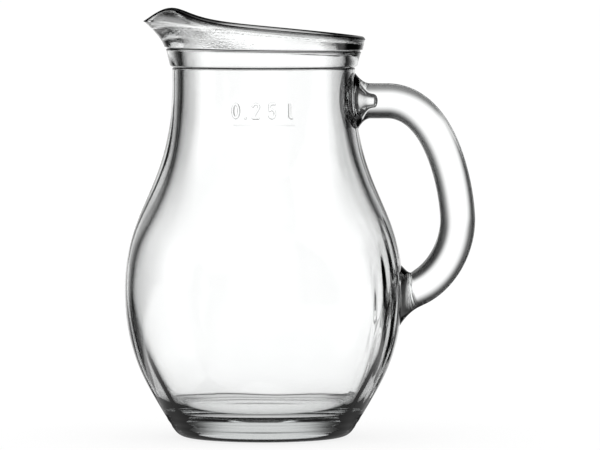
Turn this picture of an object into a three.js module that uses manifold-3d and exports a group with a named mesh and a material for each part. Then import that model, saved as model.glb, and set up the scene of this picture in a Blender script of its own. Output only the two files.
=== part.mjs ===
// Clear glass serving jug: a moulded vessel with a drawn spout, and a hot-applied rod handle.
// Millimetres, +Z up. The vessel's axis is Z and its foot stands on Z = 0. The spout points
// to -X and the handle to +X.

import * as THREE from 'three';
import { mergeVertices } from 'three/addons/utils/BufferGeometryUtils.js';
import Module from 'manifold-3d';

const { degToRad } = THREE.MathUtils;

// Foot: the resting face and the wall meet at FOOT_RADIUS, and the edge between them is rounded
const FOOT_RADIUS = 24.1;
const FOOT_ROUNDING = 2.6;
const FOOT_FLARE = degToRad(32.5);

// Belly and neck, outside
const BELLY_RADIUS = 39.4;
const BELLY_HEIGHT = 42;
const NECK_RADIUS = 25.9;
const NECK_HEIGHT = 100;

// Collar under the lip: a small step out from the neck, then a slight flare
const COLLAR_HEIGHT = 104.3;
const COLLAR_STEP = 0.5;
const COLLAR_STEP_RISE = 0.7;
const COLLAR_RADIUS = 27.75;

// Lip: a crease, then the flank up to the rounded rim. RIM_HEIGHT is halfway round
const LIP_HEIGHT = 110;
const LIP_STEP = 0.25;
const LIP_STEP_RISE = 0.5;
const RIM_RADIUS = 28.7;
const RIM_HEIGHT = 115.9;
const RIM_SLANT = degToRad(5);

// Spout: the lip is drawn out, its two cheeks stand up and a channel is pressed between them
const SPOUT_REACH = 5.2;
const SPOUT_SPREAD = degToRad(20);
const SPOUT_SWEEP = 1.6;
const CHEEK_RISE = 6;
const CHEEK_SPREAD = degToRad(38);
const CHANNEL_DEPTH = 6.8;
const CHANNEL_SPREAD = degToRad(17);

// Glass thickness
const BELLY_WALL = 2.85;
const NECK_WALL = 2.85;
const RIM_WALL = 2.7;
const BASE_THICKNESS = 7;
const FLOOR_RADIUS = 17;

// Fullness of the curves: the share of a stretch over which its end keeps its direction
const HEEL_FULLNESS = 0.4;
const UNDER_BELLY_FULLNESS = 0.455;
const OVER_BELLY_FULLNESS = 0.405;
const NECK_FULLNESS = 0.525;
const FLOOR_FULLNESS = 0.495;
const INNER_UNDER_BELLY_FULLNESS = 0.5;
const INNER_OVER_BELLY_FULLNESS = 0.43;
const INNER_NECK_FULLNESS = 0.63;

// Handle: a bent rod whose two feet flare where they are welded to the wall
const ROD_RADIUS = 5;
const HANDLE_TOP_HEIGHT = 95.2;
const HANDLE_TOP_RUN = 9;
const HANDLE_STANDOFF = 16;
const HANDLE_BEND_HEIGHT = 63;
const HANDLE_FOOT_HEIGHT = 40.2;
const HANDLE_FOOT_RUN = 5.4;
const HANDLE_FOOT_RISE = degToRad(21.5);
const SHOULDER_FULLNESS = 0.585;
const BACK_FULLNESS = 0.435;
const CURL_FULLNESS = 0.435;
const WELD_RADIUS = 8;
const WELD_FLARE = 4.2;
const WELD_GAP = 0.3;

// Tear-shaped pocket of air in the handle's upper foot
const POCKET_LENGTH = 6.6;
const POCKET_MOUTH_RADIUS = 5;
const POCKET_RADIUS = 2.5;
const POCKET_TIP_RADIUS = 1.6;

// Fineness of the faceted surfaces
const ROUND_SEGMENTS = 60;
const CURVE_STEPS = 9;
const LONG_CURVE_STEPS = 12;
const EDGE_STEPS = 4;
const RIM_STEPS = 6;
const LIP_STEPS = 3;
const ROD_SIDES = 16;
const ROD_STEPS = 44;
const POCKET_SEGMENTS = 14;

const RIM_ROUNDING = RIM_WALL / 2;
const RIM_START = RIM_HEIGHT - RIM_ROUNDING;

const wasm = await Module();
wasm.setup();

const glass = new THREE.MeshStandardMaterial({
  name: 'clear glass',
  color: 0xeef3f2,
  roughness: 0.05,
  metalness: 0,
  transparent: true,
  opacity: 0.35,
});

function at(radius, height) {
  return new THREE.Vector2(radius, height);
}

// Points of a smooth stretch that leaves `start` along one direction and reaches `end` along another
function stretch(start, startPull, end, endPull, steps) {
  const curve = new THREE.CubicBezierCurve(
    start,
    start.clone().add(startPull),
    end.clone().sub(endPull),
    end,
  );
  return curve.getPoints(steps);
}

// Outside of the vessel from the foot's rounded edge up to the neck
function bodyOutline() {
  const lean = at(Math.sin(FOOT_FLARE), Math.cos(FOOT_FLARE));
  const corner = at(FOOT_RADIUS, 0);
  const heel = corner.clone().addScaledVector(lean, FOOT_ROUNDING);
  const belly = at(BELLY_RADIUS, BELLY_HEIGHT);
  const neck = at(NECK_RADIUS, NECK_HEIGHT);
  const lowerRise = belly.y - heel.y;
  const upperRise = neck.y - belly.y;
  const edge = new THREE.QuadraticBezierCurve(at(FOOT_RADIUS - FOOT_ROUNDING, 0), corner, heel);
  const lower = stretch(
    heel,
    lean.clone().multiplyScalar(lowerRise * HEEL_FULLNESS),
    belly,
    at(0, lowerRise * UNDER_BELLY_FULLNESS),
    CURVE_STEPS,
  );
  const upper = stretch(
    belly,
    at(0, upperRise * OVER_BELLY_FULLNESS),
    neck,
    at(0, upperRise * NECK_FULLNESS),
    LONG_CURVE_STEPS,
  );
  return [...edge.getPoints(EDGE_STEPS), ...lower.slice(1), ...upper.slice(1)];
}

// Collar, crease and flank of the lip, from the neck up to where the rim's rounding starts
function lipOutline() {
  const flankFoot = at(COLLAR_RADIUS + LIP_STEP, LIP_HEIGHT + LIP_STEP_RISE);
  const flankTop = at(RIM_RADIUS, RIM_START);
  const points = [
    at(NECK_RADIUS, COLLAR_HEIGHT),
    at(NECK_RADIUS + COLLAR_STEP, COLLAR_HEIGHT + COLLAR_STEP_RISE),
    at(COLLAR_RADIUS, LIP_HEIGHT),
  ];
  for (let step = 0; step < LIP_STEPS; step++) {
    points.push(flankFoot.clone().lerp(flankTop, step / LIP_STEPS));
  }
  return points;
}

// Whole outside of the vessel, from the foot to the rim
function outsideOutline() {
  return [...bodyOutline(), ...lipOutline()];
}

// Rounded rim, and the inside of the lip down to the neck
function rimOutline() {
  const points = [];
  for (let step = 0; step <= RIM_STEPS; step++) {
    const turn = (Math.PI * step) / RIM_STEPS;
    const radius = RIM_RADIUS - RIM_ROUNDING + RIM_ROUNDING * Math.cos(turn);
    points.push(at(radius, RIM_START + RIM_ROUNDING * Math.sin(turn)));
  }
  const innerNeck = NECK_RADIUS - NECK_WALL;
  const innerRim = RIM_RADIUS - RIM_WALL;
  for (let step = 1; step <= LIP_STEPS; step++) {
    const share = step / LIP_STEPS;
    const ease = share * (2 - share);
    const radius = THREE.MathUtils.lerp(innerRim, innerNeck, ease);
    points.push(at(radius, THREE.MathUtils.lerp(RIM_START, COLLAR_HEIGHT, share)));
  }
  return points;
}

// Inside of the vessel from the neck down to the middle of the floor
function hollowOutline() {
  const neck = at(NECK_RADIUS - NECK_WALL, NECK_HEIGHT);
  const belly = at(BELLY_RADIUS - BELLY_WALL, BELLY_HEIGHT);
  const floor = at(FLOOR_RADIUS, BASE_THICKNESS);
  const upperDrop = neck.y - belly.y;
  const lowerDrop = belly.y - floor.y;
  const upper = stretch(
    neck,
    at(0, -upperDrop * INNER_NECK_FULLNESS),
    belly,
    at(0, -upperDrop * INNER_OVER_BELLY_FULLNESS),
    LONG_CURVE_STEPS,
  );
  const lower = stretch(
    belly,
    at(0, -lowerDrop * INNER_UNDER_BELLY_FULLNESS),
    floor,
    at(-(belly.x - floor.x) * FLOOR_FULLNESS, 0),
    CURVE_STEPS,
  );
  return [...upper, ...lower.slice(1), at(0, BASE_THICKNESS)];
}

// Bell curve: 1 in the middle, fading with the angle from it
function fade(angle, spread) {
  return Math.exp(-((angle / spread) ** 2));
}

// Draws the lip of a turned vessel into the slanted rim and the spout, point by point.
// Below the crease nothing moves, and the rim's rounding moves as a whole.
function drawSpout(geometry) {
  const position = geometry.attributes.position;
  for (let index = 0; index < position.count; index++) {
    const x = position.getX(index);
    const y = position.getY(index);
    const z = position.getZ(index);
    const share = THREE.MathUtils.clamp((z - LIP_HEIGHT) / (RIM_START - LIP_HEIGHT), 0, 1);
    if (share > 0) {
      const angle = Math.atan2(y, -x);
      const radius = Math.hypot(x, y);
      const pulled = radius + SPOUT_REACH * fade(angle, SPOUT_SPREAD) * share ** SPOUT_SWEEP;
      const slant = pulled * Math.cos(angle) * Math.tan(RIM_SLANT);
      const cheeks = CHEEK_RISE * fade(angle, CHEEK_SPREAD);
      const channel = CHANNEL_DEPTH * fade(angle, CHANNEL_SPREAD);
      const lift = (slant + cheeks - channel) * share;
      position.setXYZ(index, -pulled * Math.cos(angle), pulled * Math.sin(angle), z + lift);
    }
  }
}

// Closed surface with shared points and no flat triangles
function closed(geometry) {
  geometry.deleteAttribute('normal');
  geometry.deleteAttribute('uv');
  const merged = mergeVertices(geometry);
  const corners = merged.index.array;
  const kept = [];
  for (let first = 0; first < corners.length; first += 3) {
    const [a, b, c] = corners.slice(first, first + 3);
    if (a !== b && b !== c && c !== a) {
      kept.push(a, b, c);
    }
  }
  merged.setIndex(kept);
  return merged;
}

// Outline in (radius, height), turned round the Z axis
function turned(outline) {
  const geometry = new THREE.LatheGeometry(outline, ROUND_SEGMENTS);
  geometry.rotateX(Math.PI / 2);
  return closed(geometry);
}

function solid(geometry) {
  return new wasm.Manifold(
    new wasm.Mesh({
      numProp: 3,
      vertProperties: Float32Array.from(geometry.attributes.position.array),
      triVerts: Uint32Array.from(geometry.index.array),
    }),
  );
}

function surface(body) {
  const { vertProperties, triVerts } = body.getMesh();
  const geometry = new THREE.BufferGeometry();
  geometry.setAttribute('position', new THREE.BufferAttribute(vertProperties, 3));
  geometry.setIndex(new THREE.BufferAttribute(triVerts, 1));
  return geometry;
}

function vesselGeometry() {
  const inside = [...rimOutline(), ...hollowOutline()];
  const geometry = turned([at(0, 0), ...outsideOutline(), ...inside]);
  drawSpout(geometry);
  return geometry;
}

// Outer radius of the vessel at a height between foot and rim
function wallRadius(height) {
  const outline = outsideOutline();
  const above = outline.findIndex((point) => point.y > height);
  const low = outline[above - 1];
  const high = outline[above];
  return THREE.MathUtils.mapLinear(height, low.y, high.y, low.x, high.x);
}

function inPlane(x, z) {
  return new THREE.Vector3(x, 0, z);
}

// Middle line of the rod: out of the neck, round the shoulder, down the back and in to the belly.
// Each end runs on into the wall, where the weld is cut.
function handlePath() {
  const outwards = inPlane(1, 0);
  const upwards = inPlane(0, 1);
  const footOut = inPlane(Math.cos(HANDLE_FOOT_RISE), Math.sin(HANDLE_FOOT_RISE));
  const topWeld = inPlane(wallRadius(HANDLE_TOP_HEIGHT), HANDLE_TOP_HEIGHT);
  const footWeld = inPlane(wallRadius(HANDLE_FOOT_HEIGHT), HANDLE_FOOT_HEIGHT);
  const topEnd = topWeld.clone().addScaledVector(outwards, -NECK_WALL);
  const footEnd = footWeld.clone().addScaledVector(footOut, -BELLY_WALL);
  const shoulder = topWeld.clone().addScaledVector(outwards, HANDLE_TOP_RUN);
  const back = inPlane(BELLY_RADIUS + HANDLE_STANDOFF, HANDLE_BEND_HEIGHT);
  const curl = footWeld.clone().addScaledVector(footOut, HANDLE_FOOT_RUN);
  const shoulderDrop = shoulder.z - back.z;
  const curlDrop = back.z - curl.z;
  const path = new THREE.CurvePath();
  path.add(new THREE.LineCurve3(topEnd, shoulder));
  path.add(
    new THREE.CubicBezierCurve3(
      shoulder,
      shoulder.clone().addScaledVector(outwards, (back.x - shoulder.x) * SHOULDER_FULLNESS),
      back.clone().addScaledVector(upwards, shoulderDrop * BACK_FULLNESS),
      back,
    ),
  );
  path.add(
    new THREE.CubicBezierCurve3(
      back,
      back.clone().addScaledVector(upwards, -curlDrop * CURL_FULLNESS),
      curl.clone().addScaledVector(footOut, (back.x - curl.x) * CURL_FULLNESS),
      curl,
    ),
  );
  path.add(new THREE.LineCurve3(curl, footEnd));
  return path;
}

// Radius of the rod at a distance from the weld: it flares towards the wall
function rodRadius(distance) {
  const share = THREE.MathUtils.clamp(1 - distance / WELD_FLARE, 0, 1);
  return ROD_RADIUS + (WELD_RADIUS - ROD_RADIUS) * share ** 2;
}

// Rings of the rod along its path, joined into one skin and closed at both ends
function rodGeometry(path) {
  const length = path.getLength();
  const points = [];
  const triangles = [];
  for (let step = 0; step <= ROD_STEPS; step++) {
    const share = step / ROD_STEPS;
    const middle = path.getPointAt(share);
    const along = path.getTangentAt(share);
    const across = inPlane(-along.z, along.x);
    const fromTop = share * length - NECK_WALL;
    const fromFoot = (1 - share) * length - BELLY_WALL;
    const radius = rodRadius(Math.min(fromTop, fromFoot));
    for (let side = 0; side < ROD_SIDES; side++) {
      const turn = (2 * Math.PI * side) / ROD_SIDES;
      const point = middle.clone().addScaledVector(across, radius * Math.cos(turn));
      point.y += radius * Math.sin(turn);
      points.push(point);
    }
  }
  for (let step = 0; step < ROD_STEPS; step++) {
    for (let side = 0; side < ROD_SIDES; side++) {
      const next = (side + 1) % ROD_SIDES;
      const a = step * ROD_SIDES + side;
      const b = step * ROD_SIDES + next;
      triangles.push(a, a + ROD_SIDES, b, b, a + ROD_SIDES, b + ROD_SIDES);
    }
  }
  const lastRing = ROD_STEPS * ROD_SIDES;
  for (let side = 1; side < ROD_SIDES - 1; side++) {
    triangles.push(0, side, side + 1);
    triangles.push(lastRing, lastRing + side + 1, lastRing + side);
  }
  const geometry = new THREE.BufferGeometry().setFromPoints(points);
  geometry.setIndex(triangles);
  return geometry;
}

// Tear-shaped pocket along +X, with its wide mouth inside the wall
function pocketGeometry() {
  const tip = POCKET_LENGTH - POCKET_TIP_RADIUS;
  const outline = [at(0, -NECK_WALL), at(POCKET_MOUTH_RADIUS, -NECK_WALL)];
  const funnel = new THREE.QuadraticBezierCurve(
    at(POCKET_MOUTH_RADIUS, 0),
    at(POCKET_RADIUS, 0),
    at(POCKET_TIP_RADIUS, tip),
  );
  outline.push(...funnel.getPoints(EDGE_STEPS));
  const end = new THREE.EllipseCurve(0, tip, POCKET_TIP_RADIUS, POCKET_TIP_RADIUS, 0, Math.PI / 2);
  outline.push(...end.getPoints(EDGE_STEPS).slice(1, -1), at(0, POCKET_LENGTH));
  const geometry = new THREE.LatheGeometry(outline, POCKET_SEGMENTS);
  geometry.rotateZ(-Math.PI / 2);
  geometry.translate(wallRadius(HANDLE_TOP_HEIGHT), 0, HANDLE_TOP_HEIGHT);
  return closed(geometry);
}

// The rod, cut back from the vessel's wall by the weld gap and hollowed by the pocket
function handleGeometry() {
  const grown = outsideOutline().map((point) => at(point.x + WELD_GAP, point.y));
  const wall = turned([at(0, 0), ...grown, at(0, RIM_HEIGHT)]);
  const rod = solid(rodGeometry(handlePath()));
  return surface(rod.subtract(solid(wall)).subtract(solid(pocketGeometry())));
}

function piece(name, geometry) {
  geometry.computeVertexNormals();
  const mesh = new THREE.Mesh(geometry, glass.clone());
  mesh.name = name;
  return mesh;
}

const jug = new THREE.Group();
jug.add(piece('vessel', vesselGeometry()));
jug.add(piece('handle', handleGeometry()));

export default jug;
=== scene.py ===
"""Looks of a glass serving jug: the moulded vessel, its welded rod handle and a white table.

Lengths are millimetres until a mesh is made. The vessel's axis is Z and its foot stands on Z = 0.
The spout points to -X, the handle to +X, and the measure's mark faces -Y. Angles round the vessel
are counted from the spout. A span holds where something starts and where it is complete.
"""

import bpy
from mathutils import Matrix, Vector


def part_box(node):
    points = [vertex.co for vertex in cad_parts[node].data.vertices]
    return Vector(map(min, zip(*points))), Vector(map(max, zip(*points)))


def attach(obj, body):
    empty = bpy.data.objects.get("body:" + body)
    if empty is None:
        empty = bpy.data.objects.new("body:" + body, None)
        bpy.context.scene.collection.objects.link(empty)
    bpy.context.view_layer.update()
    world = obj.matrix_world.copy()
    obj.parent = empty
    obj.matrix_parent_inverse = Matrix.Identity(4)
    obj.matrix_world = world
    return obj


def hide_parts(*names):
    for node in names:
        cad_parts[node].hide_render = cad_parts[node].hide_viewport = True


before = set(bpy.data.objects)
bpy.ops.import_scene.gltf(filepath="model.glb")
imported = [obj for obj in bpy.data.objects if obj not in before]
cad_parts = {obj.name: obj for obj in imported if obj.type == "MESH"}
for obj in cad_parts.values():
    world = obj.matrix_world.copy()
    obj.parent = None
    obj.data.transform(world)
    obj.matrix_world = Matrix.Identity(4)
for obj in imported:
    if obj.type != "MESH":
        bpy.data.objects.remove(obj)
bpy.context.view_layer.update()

import logging
import math
from dataclasses import dataclass, field
from enum import Enum
from functools import reduce

import bpy
import numpy as np
from mathutils import Vector

LOG = logging.getLogger("glass_jug")
MM = 0.001
TINY = 1e-6
FULL_TURN = 2.0 * math.pi
BODY = "root"
Array = np.ndarray
Pair = tuple[Array, Array]
Span = tuple[float, float]


class Ray(Enum):
    """Kinds of ray that the Light Path node tells apart."""

    CAMERA = "Is Camera Ray"
    GLOSSY = "Is Glossy Ray"
    TRANSMISSION = "Is Transmission Ray"


class Foot(Enum):
    """The two ends of the handle, each welded to the wall."""

    UPPER = "upper"
    LOWER = "lower"


class Signal:
    """An output socket that takes part in Python expressions."""

    def __init__(self, net: "Net", socket: bpy.types.NodeSocket) -> None:
        """Keep the socket and the net that it belongs to."""
        self.net = net
        self.socket = socket

    def __add__(self, other: "Signal | float") -> "Signal":
        """Sum."""
        return self.net.math("ADD", self, other)

    def __sub__(self, other: "Signal | float") -> "Signal":
        """Difference."""
        return self.net.math("SUBTRACT", self, other)

    def __rsub__(self, other: float) -> "Signal":
        """Difference with a number on the left."""
        return self.net.math("SUBTRACT", other, self)

    def __mul__(self, other: "Signal | float") -> "Signal":
        """Product."""
        return self.net.math("MULTIPLY", self, other)

    def __truediv__(self, other: "Signal | float") -> "Signal":
        """Quotient."""
        return self.net.math("DIVIDE", self, other)

    def __abs__(self) -> "Signal":
        """Absolute value."""
        return self.net.math("ABSOLUTE", self)

    __radd__ = __add__
    __rmul__ = __mul__

    def most(self, other: "Signal | float") -> "Signal":
        """The larger of two values."""
        return self.net.math("MAXIMUM", self, other)

    def eased(self, span: Span, unit: float = 1.0) -> "Signal":
        """Ease from 0 at the start of a span to 1 at its end: three squares less two cubes.

        Args:
            span: the value that gives 0 and the value that gives 1.
            unit: size of the span's unit, such as MM for a span in millimetres.

        Returns:
            The eased value, level outside the span.
        """
        settings = {"interpolation_type": "SMOOTHSTEP"}
        sockets = {"Value": self, "From Min": span[0] * unit, "From Max": span[1] * unit}
        return self.net.signal("ShaderNodeMapRange", "Result", sockets, settings)


class Net:
    """The node tree of one material or world."""

    def __init__(self, owner: bpy.types.ID) -> None:
        """Start an empty tree.

        Args:
            owner: the material or world.
        """
        owner.use_nodes = True
        self.tree = owner.node_tree
        self.tree.nodes.clear()

    def add(self, kind: str, sockets: dict | None = None, settings: dict | None = None) -> bpy.types.Node:
        """Add one node.

        Args:
            kind: the node's type.
            sockets: input sockets by name or number, each with a value or a signal.
            settings: the node's own properties, which are set first.

        Returns:
            The new node.
        """
        node = self.tree.nodes.new(kind)
        for name, value in (settings or {}).items():
            setattr(node, name, value)
        for name, value in (sockets or {}).items():
            if isinstance(value, Signal):
                self.tree.links.new(value.socket, node.inputs[name])
            else:
                node.inputs[name].default_value = value
        return node

    def signal(
        self, kind: str, output: str | int, sockets: dict | None = None, settings: dict | None = None
    ) -> Signal:
        """Add one node, as add does, and give one of its outputs.

        Args:
            kind: the node's type.
            output: the output socket's name or number.
            sockets: the input sockets' values or signals.
            settings: the node's own properties.

        Returns:
            The output as a signal.
        """
        return Signal(self, self.add(kind, sockets, settings).outputs[output])

    def math(self, operation: str, *values: "Signal | float") -> Signal:
        """A Math node on one or two values."""
        return self.signal("ShaderNodeMath", 0, dict(enumerate(values)), {"operation": operation})

    def distance(self, across: Signal, along: Signal) -> Signal:
        """Root of the sum of two squares, never quite 0."""
        return self.math("SQRT", across * across + along * along).most(TINY)

    def mix(self, share: Signal, first: "Signal | tuple", second: "Signal | tuple") -> Signal:
        """A colour between two others: a Mix node's colours are its sockets 6 and 7, and its output 2."""
        return self.signal("ShaderNodeMix", 2, {0: share, 6: first, 7: second}, {"data_type": "RGBA"})

    def layer(self, share: "Signal | float", under: Signal, over: Signal) -> Signal:
        """One shader over another, by the share that the upper one has."""
        return self.signal("ShaderNodeMixShader", "Shader", {0: share, 1: under, 2: over})

    def place(self, kind: str) -> Signal:
        """Texture coordinates of one kind."""
        return self.signal("ShaderNodeTexCoord", kind)

    def axes(self, place: Signal) -> list[Signal]:
        """X, Y and Z of a vector."""
        split = self.add("ShaderNodeSeparateXYZ", {0: place})
        return [Signal(self, output) for output in split.outputs]

    def glance(self) -> Signal:
        """How glancing a ray is: 1 less the cosine of its angle to the surface's normal."""
        return self.signal("ShaderNodeLayerWeight", "Facing", {"Blend": 0.5})

    def tone(self, name: str) -> Signal:
        """A value that the mesh holds at each point."""
        return self.signal("ShaderNodeAttribute", "Fac", settings={"attribute_name": name})

    def ray(self, *kinds: Ray) -> Signal:
        """1 for a ray of one of these kinds and 0 for any other: the largest of the kinds' signals."""
        path = self.add("ShaderNodeLightPath")
        return reduce(Signal.most, [Signal(self, path.outputs[kind.value]) for kind in kinds])


def ease(value: Array, span: Span = (0.0, 1.0)) -> Array:
    """Ease from 0 at a span's start to 1 at its end: three squares less two cubes of the share."""
    share = np.clip((value - span[0]) / (span[1] - span[0]), 0.0, 1.0)
    return share * share * (3.0 - 2.0 * share)


def bell(value: Array, spread: float) -> Array:
    """Bell curve: 1 at 0, fading as e to minus the square of value over spread."""
    return np.exp(-((value / spread) ** 2))


def steps(count: int) -> Array:
    """Shares of a way in count even steps, from the first step's end to 1."""
    return np.linspace(0.0, 1.0, count + 1)[1:]


def bezier(controls: list | Array, shares: Array) -> Array:
    """Points of a Bezier curve: each control point weighted by its Bernstein polynomial.

    Args:
        controls: the control points, as pairs.
        shares: shares of the way along the curve.

    Returns:
        One row of two numbers for each share.
    """
    order = len(controls) - 1
    powers = range(order + 1)
    weights = [math.comb(order, k) * shares**k * (1.0 - shares) ** (order - k) for k in powers]
    return np.stack(weights, axis=1) @ np.array(controls, float)


def closed_skin(
    name: str, rings: Array, tones: dict[str, Array], first: Array, last: Array
) -> bpy.types.Object:
    """Make a closed smooth mesh from rings of points, with a fan to a pole at each end.

    The sum of the faces' triple products is the volume six times over, and faces that make it
    negative are turned round.

    Args:
        name: the object's name.
        rings: points in millimetres, by ring, by place round the ring, by X, Y and Z.
        tones: named values for the material, painted shade among them, each by ring and by place round
            it.
        first: the pole before the first ring.
        last: the pole after the last ring.

    Returns:
        The object, with its faces outwards.
    """
    count, around, _ = rings.shape
    points = np.concatenate([first[None], rings.reshape(-1, 3), last[None]])
    here = 1 + np.arange(count * around).reshape(count, around)
    beside = np.roll(here, -1, axis=1)
    quads = np.stack([here[:-1], here[1:], beside[1:], beside[:-1]], axis=-1).reshape(-1, 4)
    start = np.stack([np.zeros(around, int), here[0], beside[0]], axis=-1)
    end = np.stack([here[-1], np.full(around, len(points) - 1), beside[-1]], axis=-1)
    halves = np.concatenate([quads[:, :3], quads[:, [0, 2, 3]], start, end])
    a, b, c = (points[halves[:, corner]] for corner in range(3))
    if np.einsum("ij,ij->", a, np.cross(b, c)) < 0:
        quads, start, end = quads[:, ::-1], start[:, ::-1], end[:, ::-1]
    mesh = bpy.data.meshes.new(name)
    mesh.from_pydata((points * MM).tolist(), [], quads.tolist() + start.tolist() + end.tolist())
    mesh.shade_smooth()
    mesh.update()
    for tone, values in tones.items():
        at_points = np.concatenate([values[0, :1], values.ravel(), values[-1, :1]]).astype(np.float32)
        mesh.attributes.new(tone, "FLOAT", "POINT").data.foreach_set("value", at_points)
    piece = bpy.data.objects.new(name, mesh)
    bpy.context.scene.collection.objects.link(piece)
    LOG.info("%s: %d points, %d triangles", name, len(points), len(halves))
    return piece


@dataclass(frozen=True)
class Shade:
    """Painted shade in the tint, or painted light below 0: how much, over which glances and heights.

    Glances go from 0, straight on, to 1, along the surface. Heights are millimetres above the
    table. A span that falls fades the shade out upwards, and the default holds at all heights.
    """

    depth: float
    glances: Span
    heights: Span = (-1.0, 0.0)


@dataclass(frozen=True)
class ClearGlass:
    """Colourless pressed glass: faintly wavy, with a livelier skin where the lip was reheated, and
    painted shade in its tint.
    """

    name: str
    ior: float = 1.52
    tint: tuple = (0.997, 0.999, 0.998, 1.0)
    tint_thick: tuple = (0.990, 0.995, 0.994, 1.0)
    # Colour that the painted shade mixes into the tint.
    dark: tuple = (0.0, 0.0, 0.0, 1.0)
    depth_colour: tuple = (0.80, 0.86, 0.85, 1.0)
    depth_density: float = 8.0
    wave_size: float = 14.0
    wave_detail: float = 1.0
    wave_depth: float = 0.020
    grain_size: float = 0.9
    grain_detail: float = 2.0
    grain_depth: float = 0.025
    grain_squash: tuple = (1.0, 1.0, 2.5)
    grain_heights: Span = (108.5, 112.0)
    smear_size: float = 30.0
    smear_detail: float = 3.0
    smear_roughness: float = 0.012
    smear_span: Span = (0.5, 0.8)
    # Painted shade, and painted light where the depth is below 0, at glancing angles: it stands in for
    # the dark and light bands that refraction draws at the edges and in the hollow. line_shade is the
    # depth of the painted lines.
    edge: Shade = Shade(0.35, (0.38, 0.62))
    edge_light: Shade = Shade(-0.3, (0.7, 0.8))
    edge_line: Shade = Shade(0.55, (0.8, 0.88))
    base_edge: Shade = Shade(0.4, (0.45, 0.58), (36.0, 20.0))
    base_line: Shade = Shade(0.5, (0.48, 0.56), (36.0, 20.0))
    base_line_end: Shade = Shade(-0.5, (0.56, 0.62), (36.0, 20.0))
    neck: Shade = Shade(0.45, (0.3, 0.5), (55.0, 80.0))
    bowl: Shade = Shade(0.85, (0.7, 0.97), (9.0, 13.0))
    bowl_top: Shade = Shade(-0.35, (0.7, 0.97), (26.0, 38.0))
    heel: Shade = Shade(0.5, (0.55, 0.85), (9.0, 13.0))
    heel_top: Shade = Shade(-0.5, (0.55, 0.85), (18.0, 28.0))
    line_shade: float = 0.75

    def noise(self, net: Net, place: Signal, size: float, detail: float) -> Signal:
        """Noise whose lumps are about size millimetres wide, from 0 to 1."""
        sockets = {"Vector": place, "Scale": 1.0 / (size * MM), "Detail": detail}
        return net.signal("ShaderNodeTexNoise", 0, sockets)

    def relief(self, net: Net, place: Signal, height: Signal) -> Signal:
        """The skin's relief: a slow wave all over, plus a fine, low grain above the crease.

        Args:
            net: the material's tree.
            place: place on the object.
            height: height above the table.

        Returns:
            The relief in metres.
        """
        squash = {0: place, 1: self.grain_squash}
        squashed = net.signal("ShaderNodeVectorMath", 0, squash, {"operation": "MULTIPLY"})
        wave = self.noise(net, place, self.wave_size, self.wave_detail)
        grain = self.noise(net, squashed, self.grain_size, self.grain_detail)
        lip = height.eased(self.grain_heights, MM)
        return wave * (self.wave_depth * MM) + grain * lip * (self.grain_depth * MM)

    def shade(self, net: Net, height: Signal) -> Signal:
        """How much painted shade darkens the tint: the sum of the side's shades, plus its painted lines.

        Args:
            net: the material's tree.
            height: height above the table.

        Returns:
            The share of the dark colour.
        """
        glance = net.glance()
        edges = (self.edge, self.edge_light, self.edge_line)
        outside = edges + (self.base_edge, self.base_line, self.base_line_end)
        hollow = (self.neck, self.bowl, self.bowl_top, self.heel, self.heel_top)
        outer, inner = (
            sum(part.depth * glance.eased(part.glances) * height.eased(part.heights, MM) for part in side)
            for side in (outside, hollow)
        )
        return outer + net.tone("inside") * (inner - outer) + net.tone("line") * self.line_shade

    def make(self) -> bpy.types.Material:
        """Build the material.

        Tint and smear follow a slow noise. Painted shade darkens the tint at glancing angles,
        differently on the two sides that the mesh's "inside" tone tells apart, and on its "line" tone
        of painted lines.

        Returns:
            The material.
        """
        material = bpy.data.materials.new(self.name)
        net = Net(material)
        place = net.place("Object")
        _, _, height = net.axes(place)
        relief = self.relief(net, place, height)
        bump = {"Strength": 1.0, "Distance": 1.0, "Height": relief}
        smear = self.noise(net, place, self.smear_size, self.smear_detail)
        tint = net.mix(smear, self.tint, self.tint_thick)
        # Base Color carries the painted shade: the dark colour mixed into the tint.
        sockets = {
            "Base Color": net.mix(self.shade(net, height), tint, self.dark),
            "Roughness": smear.eased(self.smear_span) * self.smear_roughness,
            "IOR": self.ior,
            "Transmission Weight": 1.0,
            "Normal": net.signal("ShaderNodeBump", "Normal", bump),
        }
        glass = net.signal("ShaderNodeBsdfPrincipled", "BSDF", sockets)
        absorbed = {"Color": self.depth_colour, "Density": self.depth_density}
        depth = net.signal("ShaderNodeVolumeAbsorption", "Volume", absorbed)
        net.add("ShaderNodeOutputMaterial", {"Surface": glass, "Volume": depth})
        return material


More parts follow.
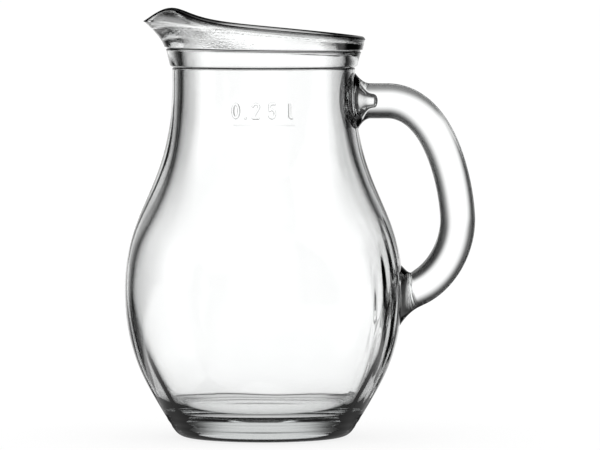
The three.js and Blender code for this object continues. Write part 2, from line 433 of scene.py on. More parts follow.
@dataclass
class Mark:
    """The raised quarter-litre measure on the front of the neck: plain figures over a fill line.

    Sweeps are degrees from the right, turning left.
    """

    relief: float = 0.36
    half_width: float = 0.16
    bevel: float = 0.30
    base: float = 90.95
    rise: float = 4.25
    line_height: float = 89.2
    line_ends: Span = (-8.3, 8.9)
    line_relief: float = 0.3
    line_spread: float = 0.22
    figure_half: float = 0.85
    nought_at: float = -7.6
    nought_sweep: Span = (0.0, 360.0)
    point_at: float = -4.9
    point_half: float = 0.1
    two_at: float = -2.0
    two_sweep: Span = (170.0, -30.0)
    five_at: float = 2.45
    five_sweep: Span = (135.0, -150.0)
    five_flag: float = 0.7
    five_bowl: float = 0.3
    litre_at: float = 7.4
    hook_radius: float = 0.5
    hook_sweep: Span = (180.0, 290.0)
    arc_points: int = 16

    def arc(self, middle: Span, radii: Span, sweep: Span) -> Array:
        """Points along an ellipse: its middle plus the radii times cosine and sine."""
        turn = np.radians(np.linspace(*sweep, self.arc_points))
        return np.array(middle) + np.array(radii) * np.stack([np.cos(turn), np.sin(turn)], axis=1)

    def strokes(self) -> list:
        """Middle lines of the figures' strokes, in X across the front and Z up.

        Returns:
            One array of points for each stroke.
        """
        half, hook = self.figure_half, self.hook_radius
        low = self.base + self.half_width
        top = self.base + self.rise - self.half_width
        bowl = (top - low) * self.five_bowl
        tall = (top - low) / 2.0
        nought = self.arc((self.nought_at, low + tall), (half, tall), self.nought_sweep)
        point = [[self.point_at - self.point_half, low], [self.point_at + self.point_half, low]]
        two_arch = self.arc((self.two_at, top - half), (half, half), self.two_sweep)
        two_base = [[self.two_at - half, low], [self.two_at + half, low]]
        five_flag = [[self.five_at + half, top], [self.five_at - self.five_flag * half, top]]
        five_bowl = self.arc((self.five_at, low + bowl), (half, bowl), self.five_sweep)
        litre_hook = self.arc((self.litre_at + hook, low + hook), (hook, hook), self.hook_sweep)
        return [
            nought,
            np.array(point),
            np.concatenate([two_arch, two_base]),
            np.concatenate([five_flag, five_bowl]),
            np.concatenate([[[self.litre_at, top]], litre_hook]),
        ]

    def height(self, across: Array, up: Array) -> Array:
        """How far the glass stands out, from the distance to the nearest stroke.

        Args:
            across: X of each point.
            up: Z of each point.

        Returns:
            The relief, full on a stroke and eased down to nothing over the bevel beside it, plus a
            bell curve across the fill line.
        """
        nearest = np.full(across.shape, np.inf)
        for stroke in self.strokes():
            for start, end in zip(stroke[:-1], stroke[1:]):
                run = end - start
                share = ((across - start[0]) * run[0] + (up - start[1]) * run[1]) / (run @ run)
                share = np.clip(share, 0.0, 1.0)
                gap = np.hypot(across - start[0] - share * run[0], up - start[1] - share * run[1])
                nearest = np.minimum(nearest, gap)
        figures = self.relief * (1.0 - ease((nearest - self.half_width) / self.bevel))
        left, right = self.line_ends
        beyond = np.maximum(np.maximum(left - across, across - right), 0.0)
        gap = np.hypot(beyond, up - self.line_height)
        return figures + self.line_relief * bell(gap, self.line_spread)


@dataclass
class Vessel:
    """The moulded jug: foot, belly, neck, collar, slanted lip and drawn spout, all one wall."""

    belly_radius: float
    foot_radius: float = 24.1
    foot_rounding: float = 2.6
    foot_flare: float = math.radians(32.5)
    # Fields named shade, from here down, set the painted shade of the "line" tone.
    foot_shade: float = 0.5
    foot_shade_heights: Span = (8.8, 6.4)
    foot_line_shade: float = 1.15
    foot_line_height: float = 7.2
    foot_line_width: float = 0.5
    foot_ripple: float = 0.06
    foot_ripple_pitch: float = 2.1
    foot_ripple_heights: Span = (7.6, 5.5)
    push_up: float = 0.4
    belly_height: float = 42.0
    neck_radius: float = 25.9
    neck_height: float = 100.0
    collar_height: float = 104.6
    collar_step: float = 0.5
    collar_step_rise: float = 0.7
    collar_groove: float = 0.22
    collar_groove_width: float = 0.2
    collar_shade_width: float = 0.28
    collar_radius: float = 27.75
    crease_height: float = 109.7
    crease_tilt: float = 0.4
    crease_groove: float = 0.4
    crease_width: float = 0.28
    crease_shade_width: float = 0.4
    lip_step: float = 0.35
    lip_step_rise: float = 0.5
    rim_radius: float = 28.7
    rim_height: float = 116.25
    rim_slant: float = math.radians(5.0)
    rim_wall: float = 2.7
    rim_shade: float = 0.72
    rim_shade_depths: Span = (1.8, 1.0)
    rim_inner_drop: float = 0.6
    crown_shade: float = 0.48
    crown_fade: float = 0.8
    edge_height: float = 115.0
    edge_dip: float = 0.3
    edge_dip_spread: float = math.radians(12.0)
    edge_ridge: float = 0.13
    edge_ridge_width: float = 0.25
    spout_reach: float = 5.2
    spout_spread: float = math.radians(20.0)
    spout_sweep: float = 1.6
    cheek_rise: float = 6.0
    cheek_spread: float = math.radians(38.0)
    channel_depth: float = 6.8
    channel_spread: float = math.radians(17.0)
    belly_wall: float = 2.85
    neck_wall: float = 2.85
    base_thickness: float = 8.2
    floor_radius: float = 22.5
    floor_turn_shade: float = 0.28
    floor_turn_width: float = 4.0
    floor_turn_rise: float = 13.0
    heel_fullness: float = 0.4
    under_belly_fullness: float = 0.455
    over_belly_fullness: float = 0.405
    neck_fullness: float = 0.525
    floor_fullness: float = 0.32
    inner_under_belly_fullness: float = 0.5
    inner_over_belly_fullness: float = 0.43
    inner_neck_fullness: float = 0.63
    seam_ridge: float = 0.05
    seam_spread: float = math.radians(0.7)
    seam_heights: Span = (4.0, 8.0)
    ripple: float = 0.05
    ripple_waves: tuple = ((5.0, 0.06, 0.0), (8.0, -0.11, 1.0))
    ripple_low: Span = (12.0, 22.0)
    ripple_high: Span = (98.0, 88.0)
    dent: float = 0.4
    dent_rise: float = 11.0
    dent_turn: float = 0.35
    dent_height: float = 37.0
    streak: float = 0.24
    streak_pitch: float = 0.15
    streak_slant: float = 0.003
    streak_length: float = 23.0
    streak_drift: float = 11.0
    streak_rise: float = 18.0
    streak_turn: float = 0.3
    mark: Mark = field(default_factory=Mark)
    mark_heights: Span = (86.0, 96.0)
    mark_half_angle: float = math.radians(24.0)
    mark_columns: int = 128
    mark_rings: int = 52
    handle_half_angle: float = math.radians(40.0)
    handle_columns: int = 76
    plain_step: float = math.radians(3.1)
    seam_columns: tuple = (-2.0, -1.0, -0.5, 0.0, 0.5, 1.0, 2.0)
    seam_clear: float = 0.4
    outline_points: int = 4001
    under_rings: int = 9
    rounding_rings: int = 10
    lower_rings: int = 46
    lower_crowding: float = 1.6
    shoulder_rings: int = 30
    throat_rings: int = 8
    throat_clear: float = 0.9
    collar_levels: tuple = (-0.8, 1.2, 23)
    band_steps: int = 6
    crease_levels: tuple = (-0.6, 0.9, 21)
    flank_steps: int = 12
    edge_levels: tuple = (-0.7, 0.0, 6)
    crown_rings: int = 22
    lip_inner_rings: int = 16
    inner_upper_rings: int = 39
    inner_lower_rings: int = 33
    floor_steps: int = 7
    angle: Array = field(init=False)

    def __post_init__(self) -> None:
        """Place the mesh's columns."""
        self.angle = self.columns()

    def lean(self) -> Array:
        """Direction in which the wall leaves the foot, by radius and height."""
        return np.array([math.sin(self.foot_flare), math.cos(self.foot_flare)])

    def heel(self) -> Array:
        """Radius and height at which the foot's rounding meets the wall."""
        return np.array([self.foot_radius, 0.0]) + self.foot_rounding * self.lean()

    def wall(self) -> Pair:
        """Control points of the outside's two cubic curves: heel to belly, and belly to neck.

        Returns:
            For each curve, four rows of radius and height.
        """
        heel = self.heel()
        belly = np.array([self.belly_radius, self.belly_height])
        neck = np.array([self.neck_radius, self.neck_height])
        low = np.array([0.0, belly[1] - heel[1]])
        high = np.array([0.0, neck[1] - belly[1]])
        away = self.lean() * low[1] * self.heel_fullness
        lower = [heel, heel + away, belly - low * self.under_belly_fullness, belly]
        upper = [belly, belly + high * self.over_belly_fullness, neck - high * self.neck_fullness, neck]
        return np.array(lower), np.array(upper)

    def wall_radius(self, height: Array) -> Array:
        """Outer radius, read off the two curves of the wall.

        Args:
            height: heights between the heel and the collar.

        Returns:
            The radius at each height.
        """
        dense = np.linspace(0.0, 1.0, self.outline_points)
        lower, upper = (bezier(curve, dense) for curve in self.wall())
        outline = np.concatenate([lower[:-1], upper])
        return np.interp(height, outline[:, 1], outline[:, 0])

    def columns(self) -> Array:
        """Places of the mesh's columns: even, finer at the mark, the handle and the two seams.

        Returns:
            Angles round the vessel from the spout, in rising order.
        """
        both = np.array([-1.0, 1.0])
        mark_start, mark_end = -math.pi / 2.0 + self.mark_half_angle * both
        handle_start, handle_end = math.pi + self.handle_half_angle * both
        plain = np.concatenate(
            [
                np.arange(mark_end, handle_start, self.plain_step)[1:],
                np.linspace(handle_start, handle_end, self.handle_columns),
                np.arange(handle_end, mark_start + FULL_TURN, self.plain_step)[1:],
            ]
        )
        fine = np.linspace(mark_start, mark_end, self.mark_columns)
        beside = self.seam_spread * np.array(self.seam_columns)
        seams = np.concatenate([beside, math.pi + beside])
        gap = np.abs(plain[:, None] - seams[None, :]).min(axis=1)
        clear = plain[gap > self.seam_clear * self.seam_spread]
        return np.sort(np.concatenate([fine, clear, seams]))

    def behind(self) -> Array:
        """Angle of each column from the back, where the handle is."""
        return np.abs(np.abs(self.angle) - math.pi)

    def seam(self) -> Array:
        """Share of the mould seam's ridge at each column: two narrow bells, at spout and handle."""
        return bell(self.angle, self.seam_spread) + bell(self.behind(), self.seam_spread)

    def foot_rings(self) -> Pair:
        """Underside, foot edge and lower wall.

        The underside is a shallow dome, the edge a quadratic curve round its sharp corner, and the
        wall just above it is faintly ringed by a sine of the height.

        Returns:
            Radius and height of each ring.
        """
        edge = self.foot_radius - self.foot_rounding
        under = edge * steps(self.under_rings)
        dome = self.push_up * (1.0 - (under / edge) ** 2) ** 2
        corner = [[edge, 0.0], [self.foot_radius, 0.0], self.heel()]
        rounding = bezier(corner, steps(self.rounding_rings))
        curve, _ = self.wall()
        lower = bezier(curve, steps(self.lower_rings) ** self.lower_crowding)
        fade = ease(lower[:, 1], self.foot_ripple_heights)
        ripple = self.foot_ripple * np.sin(FULL_TURN * lower[:, 1] / self.foot_ripple_pitch) * fade
        radius = np.concatenate([under, rounding[:, 0], lower[:, 0] + ripple])
        height = np.concatenate([dome, rounding[:, 1], lower[:, 1]])
        return radius, height

    def neck_rings(self) -> Pair:
        """Upper wall from the belly to just under the collar, in close rings across the mark.

        Returns:
            Radius and height of each ring.
        """
        low, high = self.mark_heights
        top = self.collar_height - self.throat_clear
        shoulder = self.belly_height + (low - self.belly_height) * steps(self.shoulder_rings)[:-1]
        throat = high + (top - high) * steps(self.throat_rings)
        height = np.concatenate([shoulder, np.linspace(low, high, self.mark_rings), throat])
        return self.wall_radius(height), height

    def lip(self) -> dict[str, Array]:
        """Heights and radii of the lip that change round the vessel.

        The rim's edge is a slanted plane, drawn out by a bell curve at the spout. The crown
        stands on it: two cheeks, as a wide bell curve with a narrower one taken out between.

        Returns:
            Crease height, pull of the spout, outer radius, edge height and crown of each column.
        """
        angle = self.angle
        pull = self.spout_reach * bell(angle, self.spout_spread)
        outer = self.rim_radius + pull
        slant = outer * np.cos(angle) * math.tan(self.rim_slant)
        edge = self.edge_height + slant - self.edge_dip * bell(angle, self.edge_dip_spread)
        cheeks = self.cheek_rise * bell(angle, self.cheek_spread)
        channel = self.channel_depth * bell(angle, self.channel_spread)
        top = self.rim_height + slant + cheeks - channel
        crease = self.crease_height + self.crease_tilt * np.cos(angle)
        return {"crease": crease, "pull": pull, "outer": outer, "edge": edge, "crown": top - edge}

    def flank_rings(self) -> Pair:
        """Collar, crease and flank of the lip, up to the rim's edge.

        The radius is the neck's, plus a small step at the collar, a straight flare to the crease,
        a groove and a step at each, a flare to the rim, the spout's pull and the ridge at the edge.

        Returns:
            Radius and height, by ring and by column.
        """
        lip = self.lip()
        crease, edge = lip["crease"][None], lip["edge"][None]
        level = np.full_like(crease, self.collar_height)
        collar = level + np.linspace(*self.collar_levels)[:, None]
        groove = crease + np.linspace(*self.crease_levels)[:, None]
        ridge = edge + np.linspace(*self.edge_levels)[:, None]
        band = collar[-1:] + steps(self.band_steps)[:-1, None] * (groove[:1] - collar[-1:])
        flank = groove[-1:] + steps(self.flank_steps)[:-1, None] * (ridge[:1] - groove[-1:])
        height = np.concatenate([collar, band, groove, flank, ridge])
        over_collar, over_crease = height - self.collar_height, height - crease
        flared = np.clip(over_collar / (crease - self.collar_height), 0.0, 1.0)
        share = np.clip(over_crease / (edge - crease), 0.0, 1.0)
        parts = [
            self.collar_step * ease(over_collar / self.collar_step_rise),
            (self.collar_radius - self.neck_radius - self.collar_step) * flared,
            self.lip_step * ease(over_crease / self.lip_step_rise),
            -self.crease_groove * bell(over_crease, self.crease_width),
            -self.collar_groove * bell(over_collar, self.collar_groove_width),
            (self.rim_radius - self.collar_radius - self.lip_step) * share,
            lip["pull"] * share**self.spout_sweep,
            self.edge_ridge * bell(height - edge, self.edge_ridge_width),
        ]
        return self.neck_radius + sum(parts), height

    def rim_rings(self) -> Pair:
        """Rounded rim and the inside of the lip, down to the neck.

        The rim is half an ellipse over the wall's width, as high as the crown. The inside eases
        in to the neck, and the spout's pull fades by the same sweep as outside.

        Returns:
            Radius and height, by ring and by column.
        """
        lip = self.lip()
        turn = math.pi * steps(self.crown_rings)[:, None]
        across = (1.0 - np.cos(turn)) / 2.0
        rim_height = lip["edge"] + lip["crown"] * np.sin(turn) - self.rim_inner_drop * across
        ridge = self.edge_ridge * bell(rim_height - lip["edge"], self.edge_ridge_width)
        rim_radius = lip["outer"] - self.rim_wall * across + ridge * (1.0 - across) ** 2
        down = steps(self.lip_inner_rings)[:, None]
        start = lip["edge"] - self.rim_inner_drop
        height = start + (self.collar_height - start) * down
        inner_rim = self.rim_radius - self.rim_wall
        inner_neck = self.neck_radius - self.neck_wall
        radius = inner_rim + (inner_neck - inner_rim) * down * (2.0 - down)
        kept = np.clip((height - lip["crease"]) / (start - lip["crease"]), 0.0, 1.0)
        radius = radius + lip["pull"] * kept**self.spout_sweep
        return np.concatenate([rim_radius, radius]), np.concatenate([rim_height, height])

    def hollow_rings(self) -> Pair:
        """Inside of neck and belly, as two cubic curves, and the flat floor.

        Returns:
            Radius and height of each ring.
        """
        neck = np.array([self.neck_radius - self.neck_wall, self.neck_height])
        belly = np.array([self.belly_radius - self.belly_wall, self.belly_height])
        floor = np.array([self.floor_radius, self.base_thickness])
        drop = np.array([0.0, neck[1] - belly[1]])
        fall = np.array([0.0, belly[1] - floor[1]])
        inwards = np.array([belly[0] - floor[0], 0.0])
        under_neck = neck - drop * self.inner_neck_fullness
        over_belly = belly + drop * self.inner_over_belly_fullness
        under_belly = belly - fall * self.inner_under_belly_fullness
        beside_floor = floor + inwards * self.floor_fullness
        shares = np.linspace(0.0, 1.0, self.inner_upper_rings)
        upper = bezier([neck, under_neck, over_belly, belly], shares)
        lower = bezier([belly, under_belly, beside_floor, floor], steps(self.inner_lower_rings))
        middle = self.floor_radius * (1.0 - steps(self.floor_steps)[:-1])
        radius = np.concatenate([upper[:, 0], lower[:, 0], middle])
        height = np.concatenate([upper[:, 1], lower[:, 1], np.full(len(middle), self.base_thickness)])
        return radius, height

    def hollow_relief(self, height: Array) -> Array:
        """How far the hollow's wall lies outside its plain shape.

        Slow ripples are sines round and up the wall, eased out at the floor and the neck. Behind
        the handle the wall is thicker by a bell curve. The streaks there are a sine across them,
        broken up by a slower one along them, under a bell curve.

        Args:
            height: heights, by ring and by column.

        Returns:
            The change of radius at each point.
        """
        settled = ease(height, self.ripple_low) * ease(height, self.ripple_high)
        angle = self.angle
        waves = [np.sin(turns * angle + climb * height + by) for turns, climb, by in self.ripple_waves]
        behind = self.behind()
        over = height - self.dent_height
        dent = self.dent * bell(over, self.dent_rise) * bell(behind, self.dent_turn)
        across = np.sin(FULL_TURN * (behind - self.streak_slant * over) / self.streak_pitch)
        along = (1.0 + np.sin(FULL_TURN * over / self.streak_length + self.streak_drift * behind)) / 2.0
        pulled = bell(over, self.streak_rise) * bell(behind - self.streak_turn, self.streak_turn)
        return self.ripple * sum(waves) * settled - dent + self.streak * across * along * pulled

    def painted_line_shade(self, radius: Array, height: Array, inside: Array) -> Array:
        """Painted shade of the lines, as a tone: a darker tint where refraction draws dark lines.

        Outside it sums bell curves at the crease, at the collar and over the foot, and eased bands
        at rim, crown and foot. In the hollow it eases in where the floor turns up into the wall.

        Args:
            radius: radii, by ring and by column.
            height: heights of the same points.
            inside: 1 for points of the hollow and 0 for others.

        Returns:
            The tone at each point.
        """
        lip = self.lip()
        sunk = lip["edge"] + lip["crown"] - height
        lines = [
            bell(height - lip["crease"], self.crease_shade_width),
            bell(height - self.collar_height, self.collar_shade_width),
            self.rim_shade * ease(sunk, self.rim_shade_depths),
            self.crown_shade * ease((height - lip["edge"]) / self.crown_fade),
            self.foot_shade * ease(height, self.foot_shade_heights),
            self.foot_line_shade * bell(height - self.foot_line_height, self.foot_line_width),
        ]
        turn = ease((radius - self.floor_radius) / self.floor_turn_width)
        turn = turn * (1.0 - ease((height - self.base_thickness) / self.floor_turn_rise))
        return np.where(inside > 0.0, self.floor_turn_shade * turn, sum(lines))

    def build(self) -> bpy.types.Object:
        """Make the vessel's mesh, from the middle of the underside over the rim to the floor.

        Returns:
            The mesh object, with the tones that its material reads: its hollow's side and painted shade.
        """
        angle = self.angle
        level = np.ones_like(angle)[None]
        foot_radius, foot_height = (part[:, None] * level for part in self.foot_rings())
        neck_radius, neck_height = (part[:, None] * level for part in self.neck_rings())
        hollow_radius, hollow_height = (part[:, None] * level for part in self.hollow_rings())
        flank_radius, flank_height = self.flank_rings()
        rim_radius, rim_height = self.rim_rings()
        front = np.sin(angle)[None] < 0.0
        neck_radius = neck_radius + front * self.mark.height(-neck_radius * np.cos(angle), neck_height)
        outer_radius = np.concatenate([foot_radius, neck_radius])
        outer_height = np.concatenate([foot_height, neck_height])
        raised = ease(outer_height, self.seam_heights)
        outer_radius = outer_radius + self.seam_ridge * self.seam() * raised
        hollow_radius = hollow_radius + self.hollow_relief(hollow_height)
        radius = np.concatenate([outer_radius, flank_radius, rim_radius, hollow_radius])
        height = np.concatenate([outer_height, flank_height, rim_height, hollow_height])
        inside = np.zeros(radius.shape)
        inside[-len(hollow_radius) - self.lip_inner_rings :] = 1.0
        # The "line" tone is painted shade for the glass's tint.
        tones = {"inside": inside, "line": self.painted_line_shade(radius, height, inside)}
        rings = np.stack([-radius * np.cos(angle), radius * np.sin(angle), height], axis=-1)
        under = np.array([0.0, 0.0, self.push_up])
        floor = np.array([0.0, 0.0, self.base_thickness])
        return closed_skin("vessel_glass", rings, tones, under, floor)


@dataclass
class Handle:
    """The rod handle: bent while hot, its two flared feet welded to the vessel's wall."""

    vessel: Vessel
    rod_radius: float = 5.0
    top_height: float = 95.2
    top_run: float = 8.8
    standoff: float = 15.6
    bend_height: float = 61.6
    foot_height: float = 40.2
    foot_run: float = 3.0
    foot_rise: float = math.radians(21.5)
    shoulder_fullness: float = 0.81
    back_fullness: float = 0.18
    curl_fullness: float = 0.41
    tuck_fullness: float = 0.66
    weld_radius: float = 8.0
    weld_flare: float = 4.2
    weld_sink: float = 0.05
    seat_blend: float = 7.0
    seat_range: float = 16.0
    seat_halvings: int = 40
    pocket_length: float = 6.3
    pocket_mouth_radius: float = 6.0
    pocket_radius: float = 2.3
    pocket_tip_radius: float = 1.4
    pocket_flare: float = 0.8
    pocket_lip: float = 0.15
    sides: int = 96
    path_points: int = 1500
    tip_steps: int = 11
    pocket_rings: int = 44
    pocket_crowding: float = 1.8
    weld_steps: int = 5
    foot_rings: int = 30
    rod_steps: int = 129
    face_steps: int = 9

    def axis(self, foot: Foot) -> Array:
        """Direction in which the rod leaves the wall at a foot: level above, rising below."""
        rise = 0.0 if foot is Foot.UPPER else self.foot_rise
        return np.array([math.cos(rise), 0.0, math.sin(rise)])

    def weld(self, foot: Foot) -> Array:
        """Middle of a foot on the wall's outer face."""
        height = self.top_height if foot is Foot.UPPER else self.foot_height
        return np.array([float(self.vessel.wall_radius(np.array(height))), 0.0, height])

    def spokes(self, across: Array) -> Array:
        """Directions round a ring: a cosine times across, which is square to Y, plus a sine times Y."""
        turn = FULL_TURN * np.arange(self.sides)[:, None] / self.sides
        return np.cos(turn) * across[..., None, :] + np.sin(turn) * np.array([0.0, 1.0, 0.0])

    def path(self) -> Pair:
        """The rod's middle line: a run out, two cubic curves that meet at the back, and a run in.

        Returns:
            Distance along it, and X and Z at that distance.
        """
        flat = [0, 2]
        top, low = self.weld(Foot.UPPER)[flat], self.weld(Foot.LOWER)[flat]
        out, foot_out = self.axis(Foot.UPPER)[flat], self.axis(Foot.LOWER)[flat]
        up = np.array([0.0, 1.0])
        shoulder = top + out * self.top_run
        back = np.array([self.vessel.belly_radius + self.standoff, self.bend_height])
        curl = low + foot_out * self.foot_run
        fall = up * (shoulder[1] - back[1]) * self.back_fullness
        drop = up * (back[1] - curl[1]) * self.curl_fullness
        reach = out * (back[0] - shoulder[0]) * self.shoulder_fullness
        tuck = foot_out * (back[0] - curl[0]) * self.tuck_fullness
        dense = np.linspace(0.0, 1.0, self.path_points)
        curves = [
            [top, shoulder],
            [shoulder, shoulder + reach, back + fall, back],
            [back, back - drop, curl + tuck, curl],
            [curl, low],
        ]
        line = np.concatenate([bezier(curve, dense)[:-1] for curve in curves] + [low[None]])
        length = np.concatenate([[0.0], np.cumsum(np.hypot(*np.diff(line, axis=0).T))])
        return length, line

    def seat(self, points: Array, foot: Foot) -> Array:
        """How far points have to slide along a foot's axis to lie just inside the wall's outer face.

        Args:
            points: points in a plane through the weld, by X, Y and Z in the last place.
            foot: which foot.

        Returns:
            The slide of each point, found by halving an interval.
        """
        axis = self.axis(foot)
        low = np.full(points.shape[:-1], -self.seat_range)
        high = np.full(points.shape[:-1], self.seat_range)
        for _ in range(self.seat_halvings):
            middle = (low + high) / 2.0
            moved = points + middle[..., None] * axis
            wall = self.vessel.wall_radius(moved[..., 2]) - self.weld_sink
            outside = np.hypot(moved[..., 0], moved[..., 1]) > wall
            high = np.where(outside, middle, high)
            low = np.where(outside, low, middle)
        return (low + high) / 2.0

    def disc(self, foot: Foot, radius: Array, depth: Array) -> Array:
        """Rings about a foot's axis that follow the wall near it and flatten away from it.

        Args:
            foot: which foot.
            radius: each ring's radius.
            depth: how far each ring lies from the wall.

        Returns:
            Points by ring, by place round it, by X, Y and Z.
        """
        axis = self.axis(foot)
        side = 1.0 if foot is Foot.UPPER else -1.0
        spokes = self.spokes(side * np.array([-axis[2], 0.0, axis[0]]))
        flat = self.weld(foot) + radius[:, None, None] * spokes[None]
        slide = self.seat(flat, foot) * (1.0 - ease(depth / self.seat_blend))[:, None]
        return flat + (slide + depth[:, None])[..., None] * axis

    def flare(self, distance: Array) -> Array:
        """How much wider a foot is than the rod: a square that falls to nothing over the flare."""
        left = np.clip(1.0 - distance / self.weld_flare, 0.0, 1.0)
        return (self.weld_radius - self.rod_radius) * left**2

    def pocket(self) -> Array:
        """The tear-shaped pocket of trapped air, from its round tip to its wide mouth on the wall.

        Its radius falls evenly with depth, opens with most of the foot's own flare, and close to
        the wall a falling exponential turns its edge outwards.

        Returns:
            Points by ring, by place round it, by X, Y and Z.
        """
        tip = self.pocket_length - self.pocket_tip_radius
        turn = math.pi / 2.0 * steps(self.tip_steps)[:-1]
        sunk = tip * np.linspace(1.0, 0.0, self.pocket_rings) ** self.pocket_crowding
        cone = self.pocket_radius - (self.pocket_radius - self.pocket_tip_radius) * sunk / tip
        opened = cone + self.pocket_flare * self.flare(sunk)
        opened = opened + (self.pocket_mouth_radius - opened[-1]) * np.exp(-sunk / self.pocket_lip)
        radius = np.concatenate([self.pocket_tip_radius * np.sin(turn), opened])
        depth = np.concatenate([tip + self.pocket_tip_radius * np.cos(turn), sunk])
        return self.disc(Foot.UPPER, radius, depth)

    def rod(self) -> Array:
        """The rod from weld to weld: circles square to the middle line, flared at both feet.

        Returns:
            Points by ring, by place round it, by X, Y and Z.
        """
        length, line = self.path()
        whole = length[-1]
        near = np.linspace(0.0, self.seat_blend, self.foot_rings)
        free = self.seat_blend + (whole - 2.0 * self.seat_blend) * steps(self.rod_steps)[:-1]
        along = np.concatenate([near, free, whole - near[::-1]])
        slope = np.gradient(line, length, axis=0)
        x, z = (np.interp(along, length, line[:, k]) for k in range(2))
        tangent = np.stack([np.interp(along, length, slope[:, k]) for k in range(2)], axis=1)
        tangent = tangent / np.linalg.norm(tangent, axis=1, keepdims=True)
        zero = np.zeros(len(along))
        spokes = self.spokes(np.stack([-tangent[:, 1], zero, tangent[:, 0]], axis=1))
        radius = self.rod_radius + self.flare(np.minimum(along, whole - along))
        points = np.stack([x, zero, z], axis=1)[:, None] + radius[:, None, None] * spokes
        for foot, distance in ((Foot.UPPER, along), (Foot.LOWER, whole - along)):
            close = distance < self.seat_blend
            back = points[close] - distance[close, None, None] * self.axis(foot)
            slide = self.seat(back, foot) * (1.0 - ease(distance[close] / self.seat_blend))[:, None]
            points[close] = points[close] + slide[..., None] * self.axis(foot)
        return points

    def build(self) -> bpy.types.Object:
        """Make the handle's mesh: pocket, upper foot's ring on the wall, rod and lower foot's face.

        Returns:
            The mesh object, with the tones that its material reads; its lines carry no painted shade.
        """
        pocket = self.pocket()
        mouth = self.pocket_mouth_radius
        ring = mouth + (self.weld_radius - mouth) * steps(self.weld_steps)[:-1]
        face = self.weld_radius * (1.0 - steps(self.face_steps)[:-1])
        on_wall = self.disc(Foot.UPPER, ring, np.zeros(len(ring)))
        below = self.disc(Foot.LOWER, face, np.zeros(len(face)))
        rings = np.concatenate([pocket, on_wall, self.rod(), below])
        tip = self.weld(Foot.UPPER) + self.pocket_length * self.axis(Foot.UPPER)
        low = self.weld(Foot.LOWER)
        low = low + self.seat(low[None], Foot.LOWER)[0] * self.axis(Foot.LOWER)
        inside = np.zeros(rings.shape[:2])
        inside[: len(pocket)] = 1.0
        tones = {"inside": inside, "line": np.zeros_like(inside)}
        return closed_skin("handle_glass", rings, tones, tip, low)


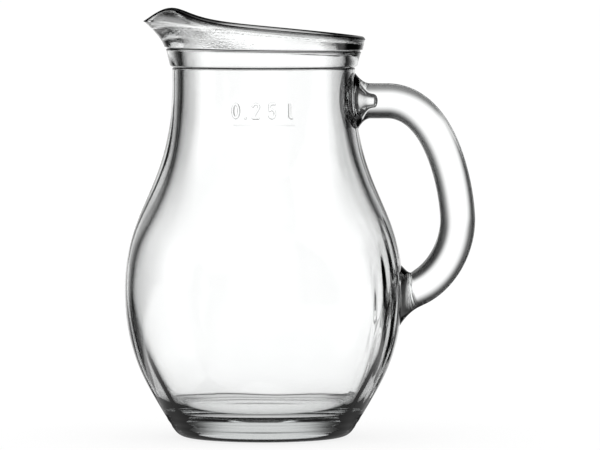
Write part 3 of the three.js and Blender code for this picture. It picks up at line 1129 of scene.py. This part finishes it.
@dataclass
class Studio:
    """White table, white surroundings with dark gaps that draw the glass's edges, and the camera.

    Spans named for a reach are millimetres from the vessel's axis. A dip is the sine of the angle
    at which a ray falls on the table.
    """

    table_half: float = 20.0
    table_drop: float = 0.3
    table_white: float = 0.8
    table_glow: float = 0.75
    table_lift: float = 1.1
    eye_height: float = 141.9
    eye_distance: float = 1680.0
    aim_across: float = 10.3
    aim_height: float = 60.0
    frame_width: float = 170.1
    sensor_width: float = 36.0
    panel_light: float = 1.12
    panel_spread: float = 0.11
    panel_top: Span = (0.1, 0.57)
    side_spread: float = 0.03
    corner_spread: float = 0.035
    corner_dips: Span = (0.12, 0.25)
    near_share: float = 0.85
    near_reach: Span = (100.0, 200.0)
    far_half: Span = (-0.2, 0.3)
    far_dip: float = 0.13
    far_across: Span = (-10.0, 10.0)
    # Painted shade and shadow in the table's glow for glass: a steep band, a dimmer edge, a ring under
    # the foot and contact shadow round it.
    steep_shade: float = 0.75
    steep_dips: Span = (0.25, 0.6)
    steep_reach: Span = (45.0, 70.0)
    steep_side: Span = (-75.0, -45.0)
    under_reach: Span = (30.0, 45.0)
    under_edge: float = 0.1
    under_edge_reach: Span = (12.0, 18.0)
    ring_reach: Span = (20.0, 24.0)
    ring_back: float = 0.05
    ring_side: float = 0.6
    ring_turn: Span = (0.6, 0.9)
    contact_shade: float = 0.75
    contact_reach: Span = (35.0, 90.0)
    mirror_shade: float = 0.7
    strip_half: float = 35.0
    gap_light: float = 0.015

    def panel(self, net: Net, along: Signal, across: Signal, spread: float) -> Signal:
        """Brightness of a white panel that stands in one direction, fading to each side of it.

        The cosine of the angle to the panel is along over the distance. Its shortfall from 1, over
        the spread and squared, fades the panel as a falling exponential.

        Args:
            net: the tree to add to.
            along: how far a point lies towards the panel.
            across: how far it lies to the side.
            spread: shortfall at which the panel has faded to about a third.

        Returns:
            Brightness from 0 to 1.
        """
        shortfall = (1.0 - along / net.distance(across, along)) / spread
        return net.math("EXPONENT", 0.0 - shortfall * shortfall)

    def panels(self, net: Net, x: Signal, y: Signal) -> Signal:
        """Brightness of the panels on the two axes: wide ones along Y, narrow ones along X."""
        wide = self.panel(net, y, x, self.panel_spread)
        return wide.most(self.panel(net, x, y, self.side_spread))

    def world(self) -> None:
        """White to the camera and to the table; through glass and in far reflections, panels and gaps."""
        world = bpy.data.worlds.new("studio")
        bpy.context.scene.world = world
        net = Net(world)
        x, y, z = net.axes(net.place("Generated"))
        through = net.ray(Ray.TRANSMISSION)
        panels = self.panels(net, abs(x), abs(y)) * (1.0 - z.eased(self.panel_top))
        behind = self.panel_light * panels + self.gap_light
        behind = behind * (1.0 - self.mirror_shade * (1.0 - through))
        far = y.eased(self.far_half).most(through)
        light = 1.0 + net.ray(Ray.GLOSSY, Ray.TRANSMISSION) * far * (behind - 1.0)
        sky = net.signal("ShaderNodeBackground", "Background", {"Color": light})
        net.add("ShaderNodeOutputWorld", {"Surface": sky})

    def painted_table_light(self, net: Net) -> Signal:
        """Painted light on the table, seen only by glass: strips towards the panels, dark gaps between.

        Strips lead to the panels on the axes and, for a ray that dips, to two more on one diagonal.
        A steep ray finds the table dimmer by painted shade, except close to the object and on the
        spout's side. Under the object the table is light, with a dimmer edge and a painted shadow ring
        that the foot stands on, open at the back. A mirrored ray finds a painted contact shadow round
        the foot.

        Args:
            net: the table's tree.

        Returns:
            The light's strength.
        """
        x, y, _ = net.axes(net.place("Object"))
        reach = net.distance(x, y)
        dip = 1.0 - net.glance()
        half = self.strip_half * MM
        beside_x, beside_y = ((abs(place) - half).most(0.0) for place in (x, y))
        slant = math.sqrt(2.0)
        across = (abs(x + y) / slant - half).most(0.0)
        diagonal = self.panel(net, abs(y - x) / slant, across, self.corner_spread)
        nearness = self.near_share + (1.0 - self.near_share) * reach.eased(self.near_reach, MM)
        dipped = dip - self.far_dip * y.eased(self.far_across, MM)
        diagonal = diagonal * dipped.eased(self.corner_dips) * nearness
        strips = self.panels(net, beside_x, beside_y).most(diagonal)
        steep = self.steep_shade * dip.eased(self.steep_dips)
        steep = steep * reach.eased(self.steep_reach, MM) * x.eased(self.steep_side, MM)
        back = (y / reach).eased(self.ring_turn)
        ring = self.ring_side + back * (self.ring_back - self.ring_side)
        under = 1.0 - self.under_edge * reach.eased(self.under_edge_reach, MM)
        under = under - ring * reach.eased(self.ring_reach, MM)
        light = under + reach.eased(self.under_reach, MM) * (strips - under)
        light = self.panel_light * light * (1.0 - steep) + self.gap_light
        through = net.ray(Ray.TRANSMISSION)
        far = (y / reach).eased(self.far_half).most(through)
        contact = self.contact_shade * (1.0 - through) * (1.0 - reach.eased(self.contact_reach, MM))
        return (1.0 + far * (light - 1.0)) * (1.0 - contact)

    def table(self) -> None:
        """A plain white table that keeps a soft shadow, with a painted glow that glass mirrors and bends.
        """
        half = self.table_half
        mesh = bpy.data.meshes.new("table")
        down = -self.table_drop * MM
        corners = [(-half, -half, down), (half, -half, down), (half, half, down), (-half, half, down)]
        mesh.from_pydata(corners, [], [(0, 1, 2, 3)])
        table = bpy.data.objects.new("table", mesh)
        bpy.context.scene.collection.objects.link(table)
        material = bpy.data.materials.new("white_table")
        net = Net(material)
        white = (self.table_white,) * 3 + (1.0,)
        paint = net.signal("ShaderNodeBsdfDiffuse", "BSDF", {"Color": white})
        lift = net.signal("ShaderNodeEmission", "Emission", {"Strength": self.table_lift})
        # Painted light and shade: a glow that glossy and transmission rays see in place of the lit table.
        painted_light = net.signal("ShaderNodeEmission", "Emission", {"Color": self.painted_table_light(net)})
        shown = net.layer(net.ray(Ray.CAMERA), paint, net.layer(self.table_glow, paint, lift))
        both = net.layer(net.ray(Ray.GLOSSY, Ray.TRANSMISSION), shown, painted_light)
        net.add("ShaderNodeOutputMaterial", {"Surface": both})
        mesh.materials.append(material)
        LOG.info("table: %.0f m across", 2.0 * half)

    def camera(self) -> None:
        """A long lens a little above the rim, aimed at the middle of the picture."""
        data = bpy.data.cameras.new("camera")
        camera = bpy.data.objects.new("camera", data)
        bpy.context.scene.collection.objects.link(camera)
        eye = Vector((self.aim_across, -self.eye_distance, self.eye_height)) * MM
        aim = Vector((self.aim_across, 0.0, self.aim_height)) * MM
        camera.location = eye
        camera.rotation_euler = (aim - eye).to_track_quat("-Z", "Y").to_euler()
        data.sensor_fit = "HORIZONTAL"
        data.sensor_width = self.sensor_width
        data.lens = self.sensor_width * (aim - eye).length / (self.frame_width * MM)
        bpy.context.scene.camera = camera

    def build(self) -> None:
        """Set the world, the table, the camera and plain display of colours."""
        self.world()
        self.table()
        self.camera()
        bpy.context.scene.view_settings.view_transform = "Standard"


def settle(piece: bpy.types.Object, node: str, finish: bpy.types.Material) -> None:
    """Give a piece its finish, and let it ride on the part and stand for its node.

    Args:
        piece: the new mesh.
        node: the CAD node that it stands for.
        finish: its material, glass with painted shade in its tint.
    """
    piece.data.materials.append(finish)
    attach(piece, BODY)
    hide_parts(node)
    LOG.info("%s stands for %s", piece.name, node)


def main() -> None:
    """Build the studio, the vessel and the handle."""
    logging.basicConfig(level=logging.INFO)
    Studio().build()
    low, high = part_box("vessel")
    vessel = Vessel(belly_radius=(high.y - low.y) / 2.0 / MM)
    handle = Handle(vessel)
    # The rod's glass has deeper painted shade at its edges and less painted light.
    rod_glass = ClearGlass(
        "handle_clear_glass",
        grain_depth=0.0,
        edge=Shade(0.6, (0.12, 0.6)),
        edge_light=Shade(-0.1, (0.7, 0.8)),
    )
    settle(vessel.build(), "vessel", ClearGlass("vessel_clear_glass").make())
    settle(handle.build(), "handle", rod_glass.make())


if __name__ == "__main__":
    main()
